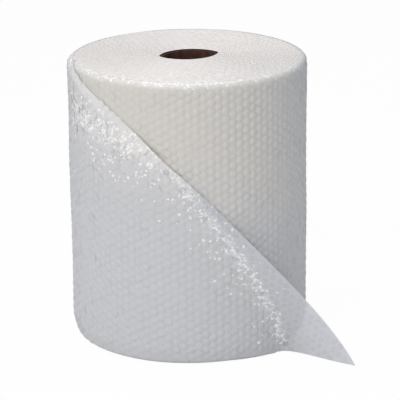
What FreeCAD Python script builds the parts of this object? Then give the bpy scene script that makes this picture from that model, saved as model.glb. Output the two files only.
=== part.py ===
"""Bubble wrap roll standing on end: a film wound on a cardboard core, its loose end cut slantwise.

Millimetres, +Z up. The origin is the centre of the roll's base, on the core's axis.
The roll is seen from -Y. Angles round the roll are measured from the front (-Y) towards the right (+X).
"""

import FreeCAD, Part

import math
import os

# Roll
web_width = 500.0  # height of the standing roll
wall_radius = 207.0  # tight wall that shows where the outer turn is cut away
edge_round_top = 11.0  # crushed outer rim, top and bottom
edge_round_base = 7.0

# Outer turn of film, which stands proud of the wall
turn_thickness = 6.0  # at its thickest, on the left
turn_start_angle = 120.0  # where the outer turn comes out of the wall, right and behind
bared_end_angle = 100.0  # the wall is bare from the slant cut round to here

# Winding marks on both end faces, each one standing for several turns
mark_pitch = 27.0
mark_first_radius = 66.0
mark_half_width = 2.6
mark_depth = 3.2

# Columns of bubbles up the wall, each ridge standing for two columns
column_pitch = 18.2
column_depth = 2.4
column_seat = 2.8  # the film under the columns lies this far in from their crests

# Cardboard core, round below and squashed to a pointed oval at its upper mouth
core_inner_radius = 38.0
core_wall = 4.0
core_recess = 3.0  # the core's top lies this far under the film's
core_fit = 0.2  # gap between core and film, all round
mouth_depth = 110.0  # length of the squashed stretch
mouth_half_length = 48.0
mouth_half_width = 33.0
mouth_tip_radius = 8.0
mouth_turn = 14.0  # degrees, the long axis turned from +X towards +Y
mouth_ledge = 0.4  # the crease where the squashed stretch begins stands in by this much
mouth_tip_facets = 3
mouth_side_facets = 11
circle_tip_angle = 12.0  # degrees of the round end that meet the oval's tips

# Loose end: slant cut on the roll, then a corner that peels off and reaches the floor
peel_height = 367.0  # where the peel begins, at the top
peel_angle_base = 46.0  # degrees, where the peel leaves the wall at the floor
peel_angle_top = -16.0
peel_curve = 1.25
cut_angle_base = -12.5  # degrees, where the slant cut runs into the flap's free edge
cut_angle_top = -82.0  # where it meets the roll's top
cut_linear_share = 0.55
cut_curve = 3.0
cut_blend_height = 60.0  # the last stretch of the peel, where the cut is still under the flap
flap_thickness = 3.0
flap_sink = 0.4  # the flap's root lies this far under the outer turn's face
flap_tip_angle = 52.6  # degrees, where the corner's tip lies on the floor
flap_tip_reach = 140.5  # how far out it lies, past the free edge's stand-off
flap_edge_curve = 1.78
flap_lift_height = 270.0  # below this the free edge swings out
flap_lift_curve = 1.3
flap_edge_standoff = 3.5
flap_bend_share = 0.2  # length of the bend at the wall, as a share of the flap's section
flap_end_share = 0.45
flap_root_overlap = 6.0  # degrees of the flap that lie in the outer turn
flap_sections = 9

Z_AXIS = FreeCAD.Vector(0, 0, 1)
ORIGIN = FreeCAD.Vector(0, 0, 0)
CUT_REACH = 60.0  # how far a cutter runs past the faces it cuts


def on_roll(radius, angle, z):
    """Point at a radius, an angle in degrees from the front towards the right, and a height."""
    a = math.radians(angle)
    return FreeCAD.Vector(radius * math.sin(a), -radius * math.cos(a), z)


def oval_corners(half_length, half_width, tip_radius):
    """Corners of an oval of two long arcs and two tight tips, from the right tip round."""
    side_radius = ((half_length - tip_radius) ** 2 + half_width**2 - tip_radius**2) / (
        2 * (half_width - tip_radius)
    )
    tip_centre = half_length - tip_radius
    side_centre = side_radius - half_width
    lean = math.atan2(side_centre, tip_centre)
    corners = []
    for k in range(mouth_tip_facets):
        a = lean * (2 * k / mouth_tip_facets - 1)
        corners.append((tip_centre + tip_radius * math.cos(a), tip_radius * math.sin(a)))
    for k in range(mouth_side_facets):
        a = lean + (math.pi - 2 * lean) * k / mouth_side_facets
        corners.append((side_radius * math.cos(a), side_radius * math.sin(a) - side_centre))
    return corners + [(-x, -y) for x, y in corners]


def round_corners(radius):
    """As many corners as the oval has, on a circle, with the tips' share of it at the ends."""
    tip = math.radians(circle_tip_angle)
    corners = []
    for k in range(mouth_tip_facets):
        a = tip * (2 * k / mouth_tip_facets - 1)
        corners.append((radius * math.cos(a), radius * math.sin(a)))
    for k in range(mouth_side_facets):
        a = tip + (math.pi - 2 * tip) * k / mouth_side_facets
        corners.append((radius * math.cos(a), radius * math.sin(a)))
    return corners + [(-x, -y) for x, y in corners]


def mouth_wire(corners, z):
    """Closed wire through the corners at a height, turned as the mouth is."""
    points = [FreeCAD.Vector(x, y, z) for x, y in corners]
    wire = Part.makePolygon(points + points[:1])
    wire.rotate(ORIGIN, Z_AXIS, mouth_turn)
    return wire


def core_plug(grow, top, base=0.0):
    """Solid with the core's bore grown by a distance: round below, squashed at the mouth."""
    mouth_start = web_width - mouth_depth
    barrel = Part.makeCylinder(core_inner_radius + grow, mouth_start - base, FreeCAD.Vector(0, 0, base))
    mouth = Part.makeLoft(
        [
            mouth_wire(round_corners(core_inner_radius + grow - mouth_ledge), mouth_start),
            mouth_wire(
                oval_corners(mouth_half_length + grow, mouth_half_width + grow, mouth_tip_radius + grow),
                web_width,
            ),
        ],
        True,
        True,
    )
    plug = barrel.fuse(mouth)
    if top < web_width:
        plug = plug.common(Part.makeBox(400, 400, top - base, FreeCAD.Vector(-200, -200, base)))
    return plug


def mouth_extension(grow, height):
    """The mouth's outline carried straight up past the end face."""
    corners = oval_corners(mouth_half_length + grow, mouth_half_width + grow, mouth_tip_radius + grow)
    return Part.Face(mouth_wire(corners, web_width)).extrude(FreeCAD.Vector(0, 0, height))


def make_core():
    """Cardboard tube: the plug grown by the wall, less the bore."""
    core_top = web_width - core_recess
    outer = core_plug(core_wall, core_top)
    bore = core_plug(0.0, web_width, -CUT_REACH).fuse(mouth_extension(0.0, CUT_REACH))
    return outer.cut(bore)


def barrel_profile(radius):
    """Half section of the wound film, its crushed outer rims each in two bevels."""
    points = [(0, 0)]
    for sign, rim, face_z in ((1, edge_round_base, 0.0), (-1, edge_round_top, web_width)):
        bevels = []
        for degrees in (0, 45, 90):
            a = math.radians(degrees)
            bevels.append((radius - rim * (1 - math.sin(a)), face_z + sign * rim * (1 - math.cos(a))))
        points += bevels if sign > 0 else bevels[::-1]
    points.append((0, web_width))
    corners = [FreeCAD.Vector(r, 0, z) for r, z in points]
    return Part.Face(Part.makePolygon(corners + corners[:1]))


def barrel(radius):
    """Solid of revolution of the wound film at a radius."""
    return barrel_profile(radius).revolve(ORIGIN, Z_AXIS, 360)


def ribbed_prism(radius):
    """Upright prism between the rims: each column of bubbles is a ridge with a flat crest and two slopes."""
    count = round(2 * math.pi * radius / column_pitch)
    step = 360 / count
    corners = []
    for k in range(count):
        corners.append(on_roll(radius - column_depth, step * k, edge_round_base))
        corners.append(on_roll(radius, step * (k + 0.3), edge_round_base))
        corners.append(on_roll(radius, step * (k + 0.7), edge_round_base))
    outline = Part.Face(Part.makePolygon(corners + corners[:1]))
    return outline.extrude(FreeCAD.Vector(0, 0, web_width - edge_round_top - edge_round_base))


def winding_marks():
    """Spiral V grooves on both end faces; the base has half as many turns."""
    return spiral(mark_pitch, web_width, -1) + spiral(2 * mark_pitch, 0.0, 1)


def spiral(pitch, face_z, inward):
    """Spiral groove as half rings on two centres half a pitch apart."""
    rings = []
    reach = wall_radius - edge_round_top - mark_half_width
    for k in range(math.ceil((reach - mark_first_radius) / pitch)):
        for sweep, centre, extra in ((-180, pitch / 4, 0.0), (180, -pitch / 4, pitch / 2)):
            radius = mark_first_radius + k * pitch + extra
            if radius + pitch / 4 < reach:
                rings.append(half_ring(centre, radius, sweep, face_z, inward))
    return rings


def half_ring(centre, radius, sweep, face_z, inward):
    """Half turn of a V groove, its mouth just outside the end face."""
    lip = 0.5
    spread = mark_half_width * (mark_depth + lip) / mark_depth
    x = centre + radius
    corners = [
        FreeCAD.Vector(x - spread, 0, face_z - inward * lip),
        FreeCAD.Vector(x + spread, 0, face_z - inward * lip),
        FreeCAD.Vector(x, 0, face_z + inward * mark_depth),
    ]
    face = Part.Face(Part.makePolygon(corners + corners[:1]))
    return face.revolve(FreeCAD.Vector(centre, 0, 0), Z_AXIS, sweep)


def peel_angle(z):
    """Angle at which the flap's root leaves the wall, at a height up to the peel's top."""
    return peel_angle_base + (peel_angle_top - peel_angle_base) * (z / peel_height) ** peel_curve


def end_angle(z):
    """Angle at which the outer turn stops: under the flap's root below, along the slant cut above."""
    if z <= peel_height:
        blend = max(0.0, 1 - (peel_height - z) / cut_blend_height)
        return peel_angle(z) + (cut_angle_base - peel_angle_top) * blend
    up = (z - peel_height) / (web_width - peel_height)
    share = cut_linear_share * up + (1 - cut_linear_share) * up**cut_curve
    return cut_angle_base + (cut_angle_top - cut_angle_base) * share


def cut_heights():
    """Heights of the slant cut's corners: even up the peel, closer together above it."""
    low = [peel_height * k / 8 for k in range(8)]
    rise = web_width - peel_height
    return low + [peel_height + rise * (1 - (1 - k / 8) ** 1.6) for k in range(9)]


def bared_wall():
    """What is cut from the outer turn: a pie slice from the slant cut round to the right, less the wall."""
    sections = []
    for z in cut_heights():
        near = end_angle(z)
        rim = [
            on_roll(2 * wall_radius, near + (bared_end_angle - near) * share, z)
            for share in (0, 1 / 3, 2 / 3, 1)
        ]
        axis = FreeCAD.Vector(0, 0, z)
        sections.append(Part.makePolygon([axis] + rim + [axis]))
    pie = Part.makeLoft(sections, True, True)
    smooth = Part.makeCylinder(wall_radius - column_seat, web_width + 2, FreeCAD.Vector(0, 0, -1))
    return pie.cut(smooth.fuse(ribbed_prism(wall_radius)))


def make_wound_film():
    """Wall and outer turn: the turn grows out of the wall behind the roll and ends at the slant cut."""
    lean = math.radians(turn_start_angle)
    half = turn_thickness / 2
    turn = barrel(wall_radius + half - column_seat).fuse(ribbed_prism(wall_radius + half))
    turn.translate(FreeCAD.Vector(-half * math.sin(lean), half * math.cos(lean), 0))
    return turn.cut(bared_wall())


def turn_radius(angle):
    """Radius of the outer turn's face at an angle."""
    return wall_radius + turn_thickness / 2 * (1 - math.cos(math.radians(angle - turn_start_angle)))


def flap_edge(z):
    """Free edge of the peeled corner, at a height: down the slant cut, then swinging out to the tip."""
    angle = flap_tip_angle + (cut_angle_base - flap_tip_angle) * (z / peel_height) ** flap_edge_curve
    lift = max(0.0, 1 - z / flap_lift_height) ** flap_lift_curve
    return on_roll(wall_radius + flap_edge_standoff + flap_tip_reach * lift, angle, z)


def flap_section(z):
    """Closed outline of the flap at a height: it leaves the wall along it, then bends outwards."""
    stations = []
    root_angle = peel_angle(z)
    for angle in (root_angle - flap_root_overlap, root_angle - flap_root_overlap / 2, root_angle):
        radius = turn_radius(angle) - flap_sink - flap_thickness / 2
        lean = math.radians(angle)
        stations.append((on_roll(radius, angle, z), FreeCAD.Vector(math.cos(lean), math.sin(lean), 0)))
    root, along = stations[-1]
    tip = flap_edge(z)
    chord = tip - root
    spine = Part.BezierCurve()
    spine.setPoles(
        [root, root + along * (chord.Length * flap_bend_share), tip - chord * flap_end_share, tip]
    )
    for k in range(1, 8):
        stations.append((spine.value(k / 7), spine.tangent(k / 7)[0]))
    left, right = [], []
    for point, tangent in stations:
        side = FreeCAD.Vector(-tangent.y, tangent.x, 0).normalize() * (flap_thickness / 2)
        left.append(point + side)
        right.append(point - side)
    inner = Part.BSplineCurve()
    inner.interpolate(left)
    outer = Part.BSplineCurve()
    outer.interpolate(right[::-1])
    edges = [
        inner.toShape(),
        Part.LineSegment(left[-1], right[-1]).toShape(),
        outer.toShape(),
        Part.LineSegment(right[0], left[0]).toShape(),
    ]
    return Part.Wire(edges)


def make_flap():
    """Peeled corner: a sheet lofted through its sections from the floor up."""
    heights = [peel_height * k / (flap_sections - 1) for k in range(flap_sections)]
    return Part.makeLoft([flap_section(z) for z in heights], True, True)


def make_film():
    """The whole film as one solid: wall, outer turn, flap, winding marks and the core's seat."""
    body = make_wound_film().fuse(make_flap())
    seat = core_plug(core_wall + core_fit, web_width, -CUT_REACH).fuse(
        mouth_extension(core_wall + core_fit, CUT_REACH)
    )
    body = body.cut([seat] + winding_marks())
    return body.removeSplitter()


def export(name, shape):
    solids = shape.Solids
    result = solids[0] if len(solids) == 1 else Part.makeCompound(solids)
    print(name, "solids", len(solids), "valid", result.isValid(), "volume", round(result.Volume))
    result.exportStep(os.path.join("parts", name + ".step"))


os.makedirs("parts", exist_ok=True)
export("core_tube", make_core())
export("bubble_film", make_film())
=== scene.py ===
"""Bubble wrap roll standing on end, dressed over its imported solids.

Shapes are worked out in millimetres and stored in metres. Angles round the roll are measured from
the front (-Y) towards the right (+X). A point of the film is named by s, its arc length round the
wall from the front, and v, its height along the film, which runs on round the crushed rims.
"""

import math

import bpy
import numpy as np
from mathutils import Matrix, Vector


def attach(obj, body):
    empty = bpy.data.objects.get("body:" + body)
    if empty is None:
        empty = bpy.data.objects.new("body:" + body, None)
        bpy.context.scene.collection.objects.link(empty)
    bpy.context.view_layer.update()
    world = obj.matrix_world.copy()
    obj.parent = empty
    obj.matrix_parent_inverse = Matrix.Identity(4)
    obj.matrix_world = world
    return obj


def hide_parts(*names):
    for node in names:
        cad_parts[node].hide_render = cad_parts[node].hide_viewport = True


# The roll, as its source has it
HEIGHT = 500.0
WALL_RADIUS = 207.0
TURN_THICKNESS = 6.0
TURN_START = 120.0  # degrees
BARED_END = 100.0
CORE_RADIUS = 38.0
CORE_WALL = 4.0
CORE_FIT = 0.2
MOUTH_HALF_LENGTH = 48.0
MOUTH_HALF_WIDTH = 33.0
MOUTH_TIP_RADIUS = 8.0
MOUTH_TURN = 14.0

# The slant cut and the peeled corner
PEEL_HEIGHT = 367.0
PEEL_BASE = 46.0
PEEL_TOP = -16.0
PEEL_CURVE = 1.25
CUT_BASE = -12.5
CUT_TOP = -82.0
CUT_LINEAR = 0.55
CUT_CURVE = 3.0
TIP_ANGLE = 52.6
TIP_REACH = 140.5
EDGE_CURVE = 1.78
LIFT_HEIGHT = 270.0
LIFT_CURVE = 1.3
STANDOFF = 3.5
BEND_SHARE = 0.2
END_SHARE = 0.45

# What the film adds, close to the solids' outline
RIM_TOP = 13.0  # radius of the crushed rim at the top, and at the base
RIM_BASE = 9.0
SKIRT_HEIGHT = 32.0  # the lowest stretch of the roll, pushed in by its own weight
SKIRT_DEPTH = 7.0
BUBBLE_RADIUS = 6.9
BUBBLE_HEIGHT = 1.9
COLUMNS = 102  # upright columns of bubbles round the roll, as far apart as in the photograph
COLUMN_PITCH = 2 * math.pi * WALL_RADIUS / COLUMNS
BUBBLE_PITCH = COLUMN_PITCH / math.sqrt(0.75)
SHEET_DEPTH = 2.2  # the plain film lies this far inside the outline, which the bubbles just reach
WEB_PITCH = 4.1  # from one turn of film to the next on the end faces
FLOOR_GAP = 0.3  # the outline of the film stands this far off the floor
LOWEST = 0.1  # and none of its points lies lower than this
OVERLAP = 28.0  # the bare wall's film runs at least this far in under the outer turn
BACK_START = -75.0  # degrees; the outer turn's bubbles are two pieces, front and back of this
DOME_SIDES = 10
DOME_RINGS = ((1.0, 0.0), (0.8, 0.52), (0.45, 0.88))  # radius and height of a bubble's rings, as shares
CREASED_ROUGHNESS = 0.14

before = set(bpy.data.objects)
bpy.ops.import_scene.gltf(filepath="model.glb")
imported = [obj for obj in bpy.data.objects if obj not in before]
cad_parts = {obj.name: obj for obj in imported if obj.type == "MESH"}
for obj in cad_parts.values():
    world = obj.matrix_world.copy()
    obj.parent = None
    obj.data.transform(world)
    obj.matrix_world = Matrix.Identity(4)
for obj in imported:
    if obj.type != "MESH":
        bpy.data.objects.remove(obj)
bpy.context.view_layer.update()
rng = np.random.default_rng(11)


# Colour and materials


def colour(hex_code):
    """Linear RGBA of an sRGB hex code."""
    values = [int(hex_code[i : i + 2], 16) / 255 for i in (1, 3, 5)]
    linear = [v / 12.92 if v <= 0.04045 else ((v + 0.055) / 1.055) ** 2.4 for v in values]
    return (*linear, 1.0)


def new_material(name):
    """Empty material with its principled shader."""
    mat = bpy.data.materials.new(name)
    mat.use_nodes = True
    return mat, mat.node_tree, mat.node_tree.nodes["Principled BSDF"]


def add(tree, kind, sockets=None, **settings):
    """One node with its settings; a socket is given a value, or another node's output to link."""
    made = tree.nodes.new(kind)
    for key, value in settings.items():
        setattr(made, key, value)
    for key, value in (sockets or {}).items():
        if isinstance(value, bpy.types.NodeSocket):
            tree.links.new(value, made.inputs[key])
        else:
            made.inputs[key].default_value = value
    return made


def glint_and_shade_cells(tree, coords, crumple_glint, share, channel="Red"):
    """Cells 4 mm across, by chance: 1 in them and 0 between. They place painted glints where bends
    catch the light, and painted shade where bends miss it.

    The share of them is the given one times the crease mark it is given.
    """
    cells = add(tree, "ShaderNodeTexVoronoi", {"Vector": coords, "Scale": 270.0})
    chance = add(tree, "ShaderNodeSeparateColor", {"Color": cells.outputs["Color"]})
    limit = add(tree, "ShaderNodeMath", {0: crumple_glint, 1: share}, operation="MULTIPLY")
    return add(
        tree, "ShaderNodeMath", {0: chance.outputs[channel], 1: limit.outputs[0]}, operation="LESS_THAN"
    ).outputs[0]


def film_material(name, packed, thin, crease_sheen, roughness, crease, clear=0.0):
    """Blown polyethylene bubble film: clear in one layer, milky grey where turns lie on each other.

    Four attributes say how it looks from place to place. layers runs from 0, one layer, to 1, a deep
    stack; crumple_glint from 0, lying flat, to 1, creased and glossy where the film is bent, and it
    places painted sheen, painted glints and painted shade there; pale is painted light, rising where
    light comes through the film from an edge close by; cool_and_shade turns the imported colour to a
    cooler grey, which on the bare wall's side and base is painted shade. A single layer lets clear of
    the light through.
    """
    mat, tree, shader = new_material(name)
    coords = add(tree, "ShaderNodeTexCoord").outputs["Object"]
    layers, crumple_glint, pale, cool_and_shade = (
        add(tree, "ShaderNodeAttribute", attribute_name=key).outputs["Fac"]
        for key in ("layers", "crumple_glint", "pale", "cool_and_shade")
    )
    # Clouds 70 mm across: air and slack between the turns
    cloud = add(tree, "ShaderNodeTexNoise", {"Vector": coords, "Scale": 14.0, "Detail": 3.0})
    swing = add(tree, "ShaderNodeMath", {0: cloud.outputs["Fac"], 1: 0.5}, operation="SUBTRACT")
    depth = add(
        tree, "ShaderNodeMath", {0: swing.outputs[0], 1: 0.5, 2: layers}, operation="MULTIPLY_ADD"
    )
    # The cooler grey: the outer turn's own colour, and painted shade on the bare wall's side and base
    stack = add(
        tree, "ShaderNodeMix", {0: cool_and_shade, 6: colour(packed), 7: colour("#D1D2D5")}, data_type="RGBA"
    )
    # Painted sheen: a paler colour over the creased film
    sheen_share = add(tree, "ShaderNodeMath", {0: crumple_glint, 1: 0.7}, operation="MULTIPLY")
    # Painted glints: white cells on the creased film
    white = glint_and_shade_cells(tree, coords, crumple_glint, 0.4)
    # Painted shade: grey cells where bends miss the light
    shade_cells = glint_and_shade_cells(tree, coords, crumple_glint, 0.2, "Green")
    shade_share = add(tree, "ShaderNodeMath", {0: shade_cells, 1: 0.35}, operation="MULTIPLY")
    # Each coat of colour covers its share of those before it. After the film's own greys come a painted
    # sheen, painted shade in grey cells, painted light (pale) and painted glints in white cells
    tone = colour(thin)
    for share, coat in (
        (depth.outputs[0], stack.outputs[2]),
        (sheen_share.outputs[0], colour(crease_sheen)),
        (shade_share.outputs[0], colour("#A9ABB2")),
        (pale, colour("#F3F0EC")),
        (white, colour("#FFFFFF")),
    ):
        tone = add(tree, "ShaderNodeMix", {0: share, 6: tone, 7: coat}, data_type="RGBA").outputs[2]
    tree.links.new(tone, shader.inputs["Base Color"])
    gloss = add(
        tree, "ShaderNodeMapRange", {"Value": crumple_glint, "To Min": roughness, "To Max": CREASED_ROUGHNESS}
    )
    tree.links.new(gloss.outputs["Result"], shader.inputs["Roughness"])
    # Creases 3 mm apart, drawn coarser than the real ones so that they show
    fine = add(tree, "ShaderNodeTexNoise", {"Vector": coords, "Scale": 330.0, "Detail": 2.0})
    sharp = add(tree, "ShaderNodeMapRange", {"Value": crumple_glint, "To Min": crease, "To Max": 1.0})
    bump = add(
        tree, "ShaderNodeBump",
        {"Height": fine.outputs["Fac"], "Strength": sharp.outputs["Result"], "Distance": 0.001},
    )
    tree.links.new(bump.outputs["Normal"], shader.inputs["Normal"])
    if clear:
        see = add(tree, "ShaderNodeMapRange", {"Value": layers, "To Min": 1 - clear, "To Max": 1.0})
        tree.links.new(see.outputs["Result"], shader.inputs["Alpha"])
    shader.inputs["IOR"].default_value = 1.5
    return mat


# Polyethylene, blown and heat-bonded: a soft gloss over milky grey. The third colour of each is a painted
# sheen on the creased film
WALL_FILM = film_material("bubble film, tight turns", "#D9D6D1", "#DEDCD9", "#F4F4F4", 0.42, 0.2)
TURN_FILM = film_material("bubble film, outer turn", "#D1D2D5", "#D9DBDF", "#FAF7F3", 0.38, 0.3)
CORNER_FILM = film_material(
    "bubble film, loose corner", "#D1D2D5", "#D2D4DA", "#F7F8FA", 0.34, 0.2, clear=0.13
)
CORNER_BUBBLES = film_material(
    "bubbles of the loose corner", "#D1D2D5", "#D6D8DD", "#F7F8FA", 0.34, 0.2, clear=0.88
)


def end_material():
    """Cut edges of the wound film, matt: pale web edges with pockets of air between the bubbles, painted
    darker as shade, and white cells of painted glints near the front.
    """
    mat, tree, shader = new_material("bubble film, cut edges of the turns")
    coords = add(tree, "ShaderNodeTexCoord").outputs["Object"]
    pocket = add(tree, "ShaderNodeAttribute", attribute_name="pocket").outputs["Fac"]
    crumple_glint = add(tree, "ShaderNodeAttribute", attribute_name="crumple_glint").outputs["Fac"]
    cloud = add(tree, "ShaderNodeTexNoise", {"Vector": coords, "Scale": 22.0, "Detail": 4.0})
    # Painted glints: white cells where the crease mark lies, at the top face's front
    white = glint_and_shade_cells(tree, coords, crumple_glint, 0.4)
    part = add(tree, "ShaderNodeMath", {0: white, 1: 0.6}, operation="MULTIPLY")
    tone = colour("#ECE8E5")
    for share, coat in (
        (cloud.outputs["Fac"], colour("#F4F2F1")),
        # The pockets lie deep, and their darker grey is painted shade
        (pocket, colour("#DEDAD7")),
        (part.outputs[0], colour("#FFFFFF")),
    ):
        tone = add(tree, "ShaderNodeMix", {0: share, 6: tone, 7: coat}, data_type="RGBA").outputs[2]
    tree.links.new(tone, shader.inputs["Base Color"])
    fine = add(tree, "ShaderNodeTexNoise", {"Vector": coords, "Scale": 400.0, "Detail": 2.0})
    bump = add(
        tree, "ShaderNodeBump", {"Height": fine.outputs["Fac"], "Strength": 0.3, "Distance": 0.001}
    )
    tree.links.new(bump.outputs["Normal"], shader.inputs["Normal"])
    shader.inputs["Roughness"].default_value = 0.45
    shader.inputs["IOR"].default_value = 1.5
    return mat


END_FILM = end_material()


def board_material():
    """Brown core board, matt, wound from paper strip, with a fine grain."""
    mat, tree, shader = new_material("core board, spiral wound")
    coords = add(tree, "ShaderNodeTexCoord").outputs["Object"]
    fibre = add(tree, "ShaderNodeTexNoise", {"Vector": coords, "Scale": 90.0, "Detail": 5.0})
    ramp = add(tree, "ShaderNodeValToRGB", {"Fac": fibre.outputs["Fac"]})
    ramp.color_ramp.elements[0].position = 0.35
    ramp.color_ramp.elements[0].color = colour("#3F2620")
    ramp.color_ramp.elements[1].position = 0.7
    ramp.color_ramp.elements[1].color = colour("#5E3A2F")
    tree.links.new(ramp.outputs["Color"], shader.inputs["Base Color"])
    bump = add(
        tree, "ShaderNodeBump", {"Height": fibre.outputs["Fac"], "Strength": 0.2, "Distance": 0.001}
    )
    tree.links.new(bump.outputs["Normal"], shader.inputs["Normal"])
    shader.inputs["Roughness"].default_value = 0.85
    return mat


board = board_material()
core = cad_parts["core_tube"]
for index in range(len(core.data.materials)):
    core.data.materials[index] = board


# Surfaces of the film, in millimetres


def rad(angle):
    return np.radians(angle)


def bell(x, width):
    """1 where x is 0, falling off on both sides as the normal curve does."""
    return np.exp(-((x / width) ** 2))


def smooth_step(x):
    """0 below 0, 1 above 1, and 3x² - 2x³ between."""
    x = np.clip(x, 0, 1)
    return x * x * (3 - 2 * x)


def turn_radius(angle):
    """The wall's radius plus half the thickness times 1 - cos of the angle from the turn's start."""
    return WALL_RADIUS + TURN_THICKNESS / 2 * (1 - np.cos(rad(angle - TURN_START)))


def peel_angle(z):
    """Angle where the corner leaves the roll: from base to top along a power of the height."""
    share = np.clip(z / PEEL_HEIGHT, 0, 1) ** PEEL_CURVE
    return PEEL_BASE + (PEEL_TOP - PEEL_BASE) * share


def cut_angle(z):
    """Angle of the slant cut above the peel: a straight share plus a cubic share of the height."""
    up = np.clip((z - PEEL_HEIGHT) / (HEIGHT - PEEL_HEIGHT), 0, 1)
    return CUT_BASE + (CUT_TOP - CUT_BASE) * (CUT_LINEAR * up + (1 - CUT_LINEAR) * up**CUT_CURVE)


def flap_edge(z):
    """Free edge of the corner, x and y: angle and radius each follow a power of the height."""
    share = np.clip(z / PEEL_HEIGHT, 0, 1)
    angle = rad(TIP_ANGLE + (CUT_BASE - TIP_ANGLE) * share**EDGE_CURVE)
    lift = np.clip(1 - z / LIFT_HEIGHT, 0, 1) ** LIFT_CURVE
    r = WALL_RADIUS + STANDOFF + TIP_REACH * lift
    return r * np.sin(angle), -r * np.cos(angle)


V_LOW = RIM_BASE * (1 - math.pi / 2)
V_HIGH = HEIGHT - RIM_TOP + RIM_TOP * math.pi / 2


def rim_profile(v, radius, tuck=1.0):
    """Radius and height at v: a straight wall between quarter rounds, leaning in along the skirt.

    tuck is 1 where the base is crushed in like that, and 0 where it stands straight to the floor.
    """
    over = np.clip((v - (HEIGHT - RIM_TOP)) / RIM_TOP, 0, math.pi / 2)
    under = np.clip((RIM_BASE - v) / RIM_BASE, 0, math.pi / 2)
    lean = SKIRT_DEPTH * np.clip(1 - v / SKIRT_HEIGHT, 0, 1) ** 1.2
    r = radius - RIM_TOP * (1 - np.cos(over)) - (RIM_BASE * (1 - np.cos(under)) + lean) * tuck
    rounded = np.clip(v, RIM_BASE, HEIGHT - RIM_TOP) + RIM_TOP * np.sin(over) - RIM_BASE * np.sin(under)
    z = np.where(v > RIM_BASE, rounded, rounded * tuck + v * (1 - tuck))
    return r, np.maximum(z, FLOOR_GAP)


def soft_wave(s, v):
    """Slack of a soft roll: three long crossed sine waves, about a millimetre in all."""
    return (
        0.45 * np.sin(s / 61.0 + 0.7 * np.sin(v / 83.0))
        + 0.35 * np.sin(v / 47.0 + s / 140.0 + 1.3)
        + 0.25 * np.sin(s / 23.0 - v / 35.0)
    )


FAR_S = WALL_RADIUS * rad(BARED_END)
NEAR_S = WALL_RADIUS * rad(BARED_END - 360)


def off_seam(s):
    """0 where the outer turn comes out of the wall, so that the two meet, and 1 from 60 mm away."""
    return smooth_step(np.minimum(np.abs(s - FAR_S), np.abs(s - NEAR_S)) / 60)


def wall_point(s, v):
    """Bare wall: the rim profile at the wall's radius, less a little slack, turned round the axis."""
    angle = s / WALL_RADIUS
    r, z = rim_profile(v, WALL_RADIUS - 0.3 + (soft_wave(s, v) - 0.7) * off_seam(s))
    return np.stack([r * np.sin(angle), -r * np.cos(angle), z], axis=-1)


TABLE_Z = np.linspace(0, PEEL_HEIGHT, 75)
TABLE_T = np.linspace(0, 1, 49)


def flap_table():
    """Sections of the corner: at each height a cubic leaves the roll along it and ends on the free edge.

    Points on it are spaced evenly by length, so that one share of its length is one place on the film.
    """
    a = peel_angle(TABLE_Z)
    r = turn_radius(a)
    root = np.stack([r * np.sin(rad(a)), -r * np.cos(rad(a))], axis=-1)
    along = np.stack([np.cos(rad(a)), np.sin(rad(a))], axis=-1)
    tip = np.stack(flap_edge(TABLE_Z), axis=-1)
    chord = tip - root
    reach = np.linalg.norm(chord, axis=-1, keepdims=True)
    poles = [root, root + along * reach * BEND_SHARE, tip - chord * END_SHARE, tip]
    t = np.linspace(0, 1, 200)[None, :, None]
    shares = [(1 - t) ** 3, 3 * t * (1 - t) ** 2, 3 * t**2 * (1 - t), t**3]
    curve = sum(share * pole[:, None, :] for share, pole in zip(shares, poles))
    run = np.linalg.norm(np.diff(curve, axis=1), axis=-1).cumsum(axis=1)
    run = np.concatenate([np.zeros((len(TABLE_Z), 1)), run], axis=1)
    points = np.stack(
        [
            np.stack([np.interp(TABLE_T * total[-1], total, line[:, axis]) for axis in (0, 1)], axis=-1)
            for total, line in zip(run, curve)
        ]
    )
    return points, run[:, -1]


FLAP, FLAP_LENGTH = flap_table()


def peel_s(v):
    return WALL_RADIUS * rad(peel_angle(np.clip(v, 0, PEEL_HEIGHT)))


def cut_s(v):
    return WALL_RADIUS * rad(cut_angle(v))


def edge_s(v):
    """Arc length of the film's free edge: the peel plus the flap's length, and the slant cut above."""
    return np.where(v < PEEL_HEIGHT, peel_s(v) + np.interp(v, TABLE_Z, FLAP_LENGTH), cut_s(v))


def tuck_of(s):
    """1 where the outer turn's base is crushed in, falling to 0 over 110 mm before the corner."""
    return smooth_step((peel_s(0.0) - s) / 110)


def v_floor(s):
    """Lowest v of the outer turn: the far side of the crushed rim, or the floor along the corner."""
    return V_LOW * tuck_of(s) + FLOOR_GAP * (1 - tuck_of(s))


def corner_point(v, past):
    """Corner: bilinear between the sections' points, from how far past the peel a place lies."""
    z = np.clip(v, 0, PEEL_HEIGHT)
    t = np.clip(past / np.maximum(np.interp(z, TABLE_Z, FLAP_LENGTH), 1e-6), 0, 1)
    row = np.clip(z / PEEL_HEIGHT * (len(TABLE_Z) - 1), 0, len(TABLE_Z) - 1.001)
    col = np.clip(t * (len(TABLE_T) - 1), 0, len(TABLE_T) - 1.001)
    i, j = row.astype(int), col.astype(int)
    wi, wj = (row - i)[..., None], (col - j)[..., None]
    flat = (
        FLAP[i, j] * (1 - wi) * (1 - wj)
        + FLAP[i + 1, j] * wi * (1 - wj)
        + FLAP[i, j + 1] * (1 - wi) * wj
        + FLAP[i + 1, j + 1] * wi * wj
    )
    return np.concatenate([flat, np.maximum(v, FLOOR_GAP)[..., None]], axis=-1)


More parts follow.
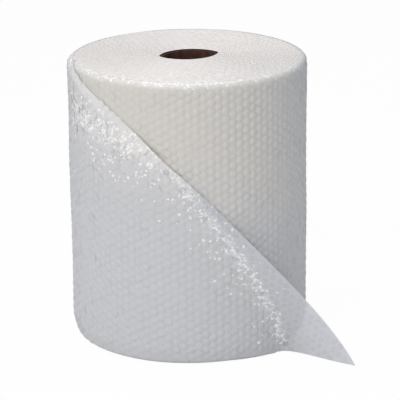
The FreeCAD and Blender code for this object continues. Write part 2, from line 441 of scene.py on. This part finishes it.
def turn_point(s, v):
    """Outer turn and corner: the turn's face up to the peel and the corner past it.

    The face is calm near the peel and the seam, and above the peel it lies down on the wall towards
    the slant cut.
    """
    s, v = np.broadcast_arrays(np.asarray(s, float), np.asarray(v, float))
    angle = np.degrees(s / WALL_RADIUS)
    past = s - peel_s(v)
    calm = smooth_step(-past / 60 + 0.1) * off_seam(s)
    hug = smooth_step((v - PEEL_HEIGHT) / 60) * smooth_step(1 - (cut_s(v) - s) / 34)
    face = turn_radius(angle) - 0.5 + soft_wave(s + 400, v) * calm
    face = face + (WALL_RADIUS + soft_wave(s, v) - 0.1 - face) * hug
    r, z = rim_profile(v, face, tuck_of(s))
    roll = np.stack([r * np.sin(rad(angle)), -r * np.cos(rad(angle)), z], axis=-1)
    on_corner = ((past > 0) & (v < PEEL_HEIGHT))[..., None]
    return np.where(on_corner, corner_point(v, past), roll)


def lifted(surface, s, v, lift):
    """Point moved off a surface along its normal, the cross product of two small steps."""
    step = 0.4
    ds = surface(s + step, v) - surface(s - step, v)
    dv = surface(s, v + step) - surface(s, v - step)
    normal = np.cross(ds, dv)
    size = np.linalg.norm(normal, axis=-1, keepdims=True)
    return surface(s, v) + normal / np.maximum(size, 1e-9) * np.asarray(lift)[..., None]


# How the film looks from place to place


def crease_line(s):
    """Height of the bent film's crest at an arc length: along the peel, then level towards the left."""
    angle = np.degrees(s / WALL_RADIUS)
    share = np.clip((PEEL_BASE - angle + 4) / (PEEL_BASE - PEEL_TOP), 0, None)
    left = PEEL_HEIGHT + 6 + (PEEL_TOP - angle) * 1.15
    return np.where(angle > PEEL_TOP, share ** (1 / PEEL_CURVE) * PEEL_HEIGHT, left)


def turn_crumple_glint(s, v):
    """Creased share of the outer turn, which also places painted sheen, glints and shade: two bells across
    the crest line, and one along the top rim.

    The narrow bell is the crest, wider to the left. The wide one is the film that buckles below it.
    """
    angle = np.degrees(s / WALL_RADIUS)
    above = v - crease_line(s)
    crest = bell(above, 18 + 7 * smooth_step((PEEL_TOP - angle) / 35))
    crest = np.maximum(crest, 0.28 * bell(above + 20, 50))
    crest = crest * smooth_step((angle + 80) / 14) * (1 - smooth_step((angle - 44) / 12))
    crest = crest * smooth_step((v - 8) / 22) * (0.72 + 0.28 * smooth_step((PEEL_TOP - angle) / 15))
    return np.clip(crest + 0.4 * bell(v - HEIGHT - 2, 9), 0, 1)


def wall_crumple_glint(s, v):
    """Creased share of the bare wall, which also places painted sheen, glints and shade: along the top
    rim, most of all at the front.
    """
    angle = np.degrees(s / WALL_RADIUS)
    return bell(v - HEIGHT - 3, 9) * (0.35 + 0.65 * bell(angle + 5, 42))


def turn_layers(s, v):
    """Depth of film behind the outer turn: a full stack, thinning to one layer past the peel."""
    width = np.clip(edge_s(v) - peel_s(v), 8, 70)
    return np.where(v < PEEL_HEIGHT, 1 - smooth_step((s - peel_s(v)) / width), 1.0)


def bubble_layers(s, v):
    """The same for the corner's bubbles, which face away and fade from sight sooner."""
    return turn_layers(s, v) ** 6


def rim_pale(s, v):
    """Paler share of the film up to the top rim, where light comes in from the end face."""
    return 0.45 * smooth_step((v - HEIGHT + 20) / 24)


def turn_pale(s, v):
    """Painted light: the rim's share, or that of the strip along the slant cut, which lies as one layer on
    the wall and is painted paler.
    """
    strip = smooth_step(1 - (edge_s(v) - s) / 75) * smooth_step((v - 290) / 80)
    return np.maximum(rim_pale(s, v), 0.5 * strip)


def wall_shade(s, v):
    """Share of the cooler, darker grey that is painted shade: none at the top of the bare wall's front,
    all at its side and base.
    """
    round_side = smooth_step((np.degrees(s / WALL_RADIUS) - 20) / 60)
    return np.maximum(round_side, smooth_step((390 - v) / 210))


def full(s, v):
    """A mark of 1 everywhere."""
    return np.ones(np.broadcast(s, v).shape)


WALL_LOOK = {"crumple_glint": wall_crumple_glint, "layers": full, "cool_and_shade": wall_shade, "pale": rim_pale}
TURN_LOOK = {"crumple_glint": turn_crumple_glint, "layers": turn_layers, "cool_and_shade": full, "pale": turn_pale}
CORNER_BUBBLE_LOOK = {**TURN_LOOK, "layers": bubble_layers}


def marks_at(look, s, v):
    """Value of each mark of a look at places of the film."""
    return {key: value_of(s, v) for key, value_of in look.items()}


# Making the meshes


def mesh_object(name, points, faces, material, marks):
    """Smooth mesh from points in millimetres, with a value of each mark at every point."""
    mesh = bpy.data.meshes.new(name)
    mesh.from_pydata((np.asarray(points) / 1000).tolist(), [], faces)
    mesh.update()
    mesh.polygons.foreach_set("use_smooth", np.ones(len(mesh.polygons), dtype=bool))
    for key, values in marks.items():
        layer = mesh.attributes.new(key, "FLOAT", "POINT")
        layer.data.foreach_set("value", np.asarray(values, dtype=np.float32).ravel())
    obj = bpy.data.objects.new(name, mesh)
    bpy.context.scene.collection.objects.link(obj)
    obj.data.materials.append(material)
    return obj


def film_piece(obj):
    """The piece stands for the film's solid and moves with the roll."""
    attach(obj, "root")
    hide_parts("bubble_film")
    return obj


def grid_faces(rows, cols, closed=False):
    """Quads of a grid whose points are stored row by row."""
    i, j = np.meshgrid(np.arange(rows - 1), np.arange(cols if closed else cols - 1), indexing="ij")
    i, j = i.ravel() * cols, j.ravel()
    k = (j + 1) % cols
    return np.stack([i + j, i + k, i + cols + k, i + cols + j], axis=-1).tolist()


def dome_template():
    """Bubble of unit radius and height: rings of points under one crown point."""
    a = 2 * math.pi * np.arange(DOME_SIDES) / DOME_SIDES
    rings = [
        np.stack([r * np.cos(a), r * np.sin(a), np.full(DOME_SIDES, h)], axis=-1) for r, h in DOME_RINGS
    ]
    points = np.concatenate(rings + [[[0, 0, 1.0]]])
    k = np.arange(DOME_SIDES)
    after = (k + 1) % DOME_SIDES
    quads = np.concatenate(
        [
            np.stack([k, after, after + DOME_SIDES, k + DOME_SIDES], axis=-1) + ring * DOME_SIDES
            for ring in range(len(DOME_RINGS) - 1)
        ]
    )
    last = (len(DOME_RINGS) - 1) * DOME_SIDES
    tris = np.stack([k + last, after + last, np.full(DOME_SIDES, len(points) - 1)], axis=-1)
    return points, quads, tris


def bubbles(name, surface, s, v, material, look):
    """One mesh of domes at the lattice points of a film surface.

    A dome is the template times the bubble's radius and height, plus a slope by chance, steeper where
    the film is creased, so that some of the bubbles there flash back the light. Towards the top rim
    they lie flat.
    """
    template, quads, tris = dome_template()
    n = len(s)
    marks = marks_at(look, s, v)
    crumple_glint = marks["crumple_glint"]
    below_rim = 1 - smooth_step((v - HEIGHT + 20) / 14)
    size = BUBBLE_RADIUS * rng.uniform(0.93, 1.02, n)
    height = BUBBLE_HEIGHT * rng.uniform(0.6, 1.0, n) * fullness(s, v) * (1 - 0.35 * crumple_glint)
    height = height * (0.3 + 0.7 * below_rim) * (0.55 + 0.45 * marks["layers"])
    slope = 0.03 + 0.14 * crumple_glint * below_rim
    tilt = rng.normal(0, 1, (n, 2)) * slope[:, None]
    # Each bubble's crease mark, and with it the painted glints and painted shade on it, varies by chance
    marks["crumple_glint"] = crumple_glint * rng.uniform(0.3, 1.0, n)
    u = template[None, :, 0] * size[:, None]
    w = template[None, :, 1] * size[:, None]
    lift = template[None, :, 2] * height[:, None] + tilt[:, :1] * u + tilt[:, 1:] * w
    lift = np.clip(lift, -1.0, BUBBLE_HEIGHT * 1.5) - SHEET_DEPTH
    points = lifted(surface, s[:, None] + u, v[:, None] + w, lift).reshape(-1, 3)
    points[:, 2] = np.maximum(points[:, 2], LOWEST)
    shift = (np.arange(n) * len(template))[:, None, None]
    faces = (quads[None] + shift).reshape(-1, 4).tolist() + (tris[None] + shift).reshape(-1, 3).tolist()
    marks = {key: np.repeat(values, len(template)) for key, values in marks.items()}
    return film_piece(mesh_object(name, points, faces, material, marks))


def fullness(s, v):
    """Share of its height that a bubble keeps: pressed flatter in patches, and near the floor."""
    patch = np.sin(s / 31.0 + 1.7 * np.sin(v / 58.0)) * np.sin(v / 37.0 - s / 90.0 + 0.8)
    return (0.82 + 0.18 * patch) * (0.35 + 0.65 * smooth_step((v - 2) / 26))


def lattice(s_low, s_high):
    """Close-packed bubble centres in upright columns between two arc lengths."""
    columns = np.arange(math.ceil(s_low / COLUMN_PITCH), math.floor(s_high / COLUMN_PITCH) + 1)
    rows = np.arange(-1, int(V_HIGH / BUBBLE_PITCH) + 2)
    c, r = np.meshgrid(columns, rows, indexing="ij")
    return (c * COLUMN_PITCH).ravel(), ((r + 0.5 * (c % 2)) * BUBBLE_PITCH + 0.5).ravel()


def film_rows(low):
    """Heights v of a sheet's rows, from each column's lowest: close round both rims, even between."""
    wall = np.linspace(SKIRT_HEIGHT, HEIGHT - RIM_TOP, 92)
    rim = np.linspace(HEIGHT - RIM_TOP, V_HIGH, 8)[1:]
    even = np.concatenate([wall, rim])[:, None]
    share = np.linspace(0, 1, 13)[:-1, None]
    skirt = low[None, :] + (SKIRT_HEIGHT - low[None, :]) * share
    return np.concatenate([skirt, np.broadcast_to(even, (len(even), len(low)))])


def sheet(name, surface, start, end, cols, material, look, low_v):
    """Plain film under the bubbles: a grid between two edges given as arc lengths by height."""
    share = np.linspace(0, 1, cols)
    foot = start(V_LOW) + (end(V_LOW) - start(V_LOW)) * share
    v = film_rows(low_v(foot))
    s = start(v) + (end(v) - start(v)) * share[None, :]
    points = lifted(surface, s, v, np.full(s.shape, -SHEET_DEPTH))
    points[..., 2] = np.maximum(points[..., 2], LOWEST)
    faces = grid_faces(*s.shape)
    return film_piece(mesh_object(name, points.reshape(-1, 3), faces, material, marks_at(look, s, v)))


def wall_start(v):
    """The bare wall's film starts on this line under the outer turn, an overlap inside its end or more."""
    return np.where(v < PEEL_HEIGHT, np.minimum(peel_s(v), cut_s(v)), edge_s(v)) - OVERLAP


def wall_end(v):
    """It ends just past the seam, where the outer turn comes out of the wall."""
    return np.full(np.shape(v), FAR_S + 3)


def turn_start(v):
    """The outer turn's film starts at the same seam, a circle earlier."""
    return np.full(np.shape(v), NEAR_S - 2)


def turn_end(v):
    """The outer turn's film ends at the peel, where the corner's begins, and on the slant cut above."""
    return np.where(v < PEEL_HEIGHT, peel_s(v), edge_s(v))


# The film: the bare wall, the outer turn and the corner, each a plain sheet under its bubbles

sheet(
    "wall_film", wall_point, wall_start, wall_end, 150, WALL_FILM, WALL_LOOK,
    lambda s: np.full(s.shape, V_LOW),
)
sheet("turn_film", turn_point, turn_start, turn_end, 300, TURN_FILM, TURN_LOOK, v_floor)


def corner_sheet():
    """The corner's film: rows from the floor to the peel's top, columns from peel to free edge."""
    v = np.linspace(FLOOR_GAP, PEEL_HEIGHT, 110)[:, None]
    s = peel_s(v) + (edge_s(v) - peel_s(v)) * np.linspace(0, 1, 70)[None, :]
    v = np.broadcast_to(v, s.shape)
    points = lifted(turn_point, s, v, np.full(s.shape, -SHEET_DEPTH + 0.1))
    points[..., 2] = np.maximum(v, LOWEST)
    faces = grid_faces(*s.shape)
    marks = marks_at(TURN_LOOK, s, v)
    return film_piece(mesh_object("corner_film", points.reshape(-1, 3), faces, CORNER_FILM, marks))


corner_sheet()

s, v = lattice(-330, FAR_S)
clear = np.where(v < PEEL_HEIGHT, wall_start(v) + 6, edge_s(v) + BUBBLE_RADIUS - 1)
keep = (s > clear) & (v < V_HIGH - 8) & (v > V_LOW + 7)
bubbles("wall_bubbles", wall_point, s[keep], v[keep], WALL_FILM, WALL_LOOK)

s, v = lattice(NEAR_S, 520)
keep = (s < edge_s(v) - BUBBLE_RADIUS - 0.5) & (v < V_HIGH - 8) & (v > v_floor(s) + 7.4)
s, v = s[keep], v[keep]
on_corner = (s > peel_s(v)) & (v < PEEL_HEIGHT)
back = (s < WALL_RADIUS * rad(BACK_START)) & ~on_corner
front = ~back & ~on_corner
bubbles("turn_bubbles_back", turn_point, s[back], v[back], TURN_FILM, TURN_LOOK)
bubbles("turn_bubbles_front", turn_point, s[front], v[front], TURN_FILM, TURN_LOOK)
bubbles(
    "corner_bubbles", turn_point, s[on_corner], v[on_corner], CORNER_BUBBLES, CORNER_BUBBLE_LOOK
)


# The ends of the roll


def oval_radius(angle, grow):
    """Distance from the axis to the squashed mouth's outline, by angle from +X, on its four arcs."""
    a = np.asarray(angle) - rad(MOUTH_TURN)
    length, width, tip = MOUTH_HALF_LENGTH + grow, MOUTH_HALF_WIDTH + grow, MOUTH_TIP_RADIUS + grow
    side = ((length - tip) ** 2 + width**2 - tip**2) / (2 * (width - tip))
    across, up = np.abs(np.cos(a)), np.abs(np.sin(a))
    off = side - width
    on_side = -off * up + np.sqrt(np.maximum(side**2 - (off * across) ** 2, 0))
    tip_centre = length - tip
    on_tip = tip_centre * across + np.sqrt(np.maximum(tip**2 - (tip_centre * up) ** 2, 0))
    lean = math.atan2(off, tip_centre)
    x, y = side * math.cos(lean), side * math.sin(lean) - off
    return np.where(np.arctan2(up, across) > math.atan2(y, x), on_side, on_tip)


def wound_edges(r, a):
    """Share of a web's edge, and share of a pocket of air, at a radius and an angle of an end face.

    The turn at a point is its radius over the pitch, less its share of a circle. A web's edge stands
    where that is whole, and bends in and out by the bubbles, which are counted along the spiral's
    length. Between the edges lie the bubbles, and a pocket of air beside each.
    """
    wander = 0.9 * np.sin(3 * a) + 0.7 * np.sin(5 * a + r / 40) + 0.5 * np.sin(2 * a - r / 17)
    turns = (r + wander) / WEB_PITCH - a / (2 * math.pi)
    whole = np.floor(turns)
    along = WEB_PITCH * (2 * math.pi * whole + a) ** 2 / (4 * math.pi)
    wave = np.cos(2 * math.pi * along / BUBBLE_PITCH)
    part = turns - whole + 0.1 * wave
    web = bell(part - np.round(part), 0.16)
    return web, (1 - web) * (0.5 - 0.5 * wave)


def end_face(name, top, rings, sides):
    """End of the wound film: a polar grid whose height follows the spiral of the turns.

    Webs' edges stand up, pockets of air lie deep, and the whole face slumps and is a little ragged. It
    dips under the film's rim outside, and is level round the core.
    """
    angle = np.linspace(0, 2 * math.pi, sides, endpoint=False)[None, :]
    share = np.linspace(0, 1, rings)[:, None]
    grow = CORE_WALL + CORE_FIT
    from_front = np.degrees(angle) + 90
    from_front = np.where(from_front > 180, from_front - 360, from_front)
    if top:
        inner = oval_radius(angle, grow)
        bare = (from_front > CUT_TOP) & (from_front < BARED_END)
        outer = np.where(bare, WALL_RADIUS, turn_radius(from_front)) - RIM_TOP + 1.5
    else:
        inner = np.full(angle.shape, CORE_RADIUS + grow)
        outer = turn_radius(from_front) - RIM_BASE - SKIRT_DEPTH - 1.0
    r = inner + (outer - inner) * share
    a = np.broadcast_to(angle, r.shape)
    web, pocket = wound_edges(r, a)
    slump = 0.5 * np.sin(2 * a + 0.6) * np.sin(r / 31) + 0.4 * np.sin(7 * a + r / 9)
    slump = slump + 0.3 * np.sin(11 * a - r / 6)
    ragged = rng.normal(0, 0.22, r.shape)
    depth = np.maximum(1.6 - 1.1 * web + 1.3 * pocket + 0.5 * slump + ragged, 0.25)
    rim = smooth_step((share - 0.93) / 0.07)
    depth = depth * (1 - rim) + (SHEET_DEPTH + 0.4) * rim
    lip = smooth_step(1 - share / 0.05)
    depth = depth * (1 - lip) + lip
    x, y = r * np.cos(a), r * np.sin(a)
    points = np.stack([x, y, HEIGHT - depth if top else 0.4 + depth * 0.5], axis=-1)
    faces = grid_faces(rings, sides, closed=True)
    if top:
        faces = [quad[::-1] for quad in faces]
    # Crease mark of the top face's front, which places painted glints there only
    crumple_glint = 0.7 * smooth_step((-y - 95) / 65) * bell(x + 8, 105)
    marks = {"pocket": pocket, "crumple_glint": crumple_glint if top else crumple_glint * 0}
    return film_piece(mesh_object(name, points.reshape(-1, 3), faces, END_FILM, marks))


end_face("top_turns", True, 200, 480)
end_face("base_turns", False, 110, 240)


# Stage, light and camera


def white_floor():
    """Matt white floor. The camera sees a plain white, with a little of the roll's soft shadow on it."""
    mesh = bpy.data.meshes.new("floor")
    mesh.from_pydata([(-4, -4, 0), (4, -4, 0), (4, 4, 0), (-4, 4, 0)], [], [(0, 1, 2, 3)])
    obj = bpy.data.objects.new("floor", mesh)
    bpy.context.scene.collection.objects.link(obj)
    mat, tree, shader = new_material("white studio floor")
    shader.inputs["Base Color"].default_value = colour("#F6F6F6")
    shader.inputs["Roughness"].default_value = 0.9
    shader.inputs["Specular IOR Level"].default_value = 0.0
    glow = add(tree, "ShaderNodeEmission", {"Color": (1, 1, 1, 1), "Strength": 1.0})
    ray = add(tree, "ShaderNodeLightPath").outputs["Is Camera Ray"]
    part = add(tree, "ShaderNodeMath", {0: ray, 1: 0.97}, operation="MULTIPLY")
    both = add(
        tree, "ShaderNodeMixShader", {0: part.outputs[0], 1: shader.outputs[0], 2: glow.outputs[0]}
    )
    tree.links.new(both.outputs[0], tree.nodes["Material Output"].inputs["Surface"])
    obj.data.materials.append(mat)


white_floor()


def area_light(name, place, target, size, power, tint="#FFFFFF"):
    """Square soft box at a place, in metres, turned to a target."""
    data = bpy.data.lights.new(name, "AREA")
    data.size = size
    data.energy = power
    data.color = colour(tint)[:3]
    lamp = bpy.data.objects.new(name, data)
    lamp.location = place
    lamp.rotation_euler = (Vector(target) - Vector(place)).to_track_quat("-Z", "Y").to_euler()
    bpy.context.scene.collection.objects.link(lamp)
    return lamp


CENTRE = (0.0, 0.0, 0.25)
area_light("key", (-1.25, -2.0, 2.45), CENTRE, 0.7, 26, "#FFFBF6")
area_light("left", (-2.6, 0.2, 0.9), CENTRE, 0.9, 4.2)
area_light("front", (-0.2, -3.0, 1.0), CENTRE, 0.5, 8)
area_light("overhead", (0.0, 0.2, 2.5), CENTRE, 1.8, 17.5)

world = bpy.data.worlds.new("studio")
bpy.context.scene.world = world
world.use_nodes = True
world.node_tree.nodes.clear()
seen = add(world.node_tree, "ShaderNodeBackground", {"Color": (1, 1, 1, 1), "Strength": 1.0})
dome = add(world.node_tree, "ShaderNodeBackground", {"Color": colour("#F2F4F8"), "Strength": 0.45})
ray = add(world.node_tree, "ShaderNodeLightPath").outputs["Is Camera Ray"]
sky = add(world.node_tree, "ShaderNodeMixShader", {0: ray, 1: dome.outputs[0], 2: seen.outputs[0]})
add(world.node_tree, "ShaderNodeOutputWorld", {"Surface": sky.outputs[0]})

bpy.context.scene.view_settings.view_transform = "Standard"

ELEVATION = math.radians(17.6)
DISTANCE = 3.9
TARGET = Vector((0.0169, 0.0, 0.2335))
TILT = math.radians(-0.6)  # the picture leans a little to the left
cam_data = bpy.data.cameras.new("camera")
cam_data.angle = math.radians(10.37)
camera = bpy.data.objects.new("camera", cam_data)
camera.location = TARGET + Vector((0, -math.cos(ELEVATION), math.sin(ELEVATION))) * DISTANCE
aim = (TARGET - camera.location).to_track_quat("-Z", "Y")
camera.rotation_euler = (aim.to_matrix() @ Matrix.Rotation(TILT, 3, "Z")).to_euler()
bpy.context.scene.collection.objects.link(camera)
bpy.context.scene.camera = camera
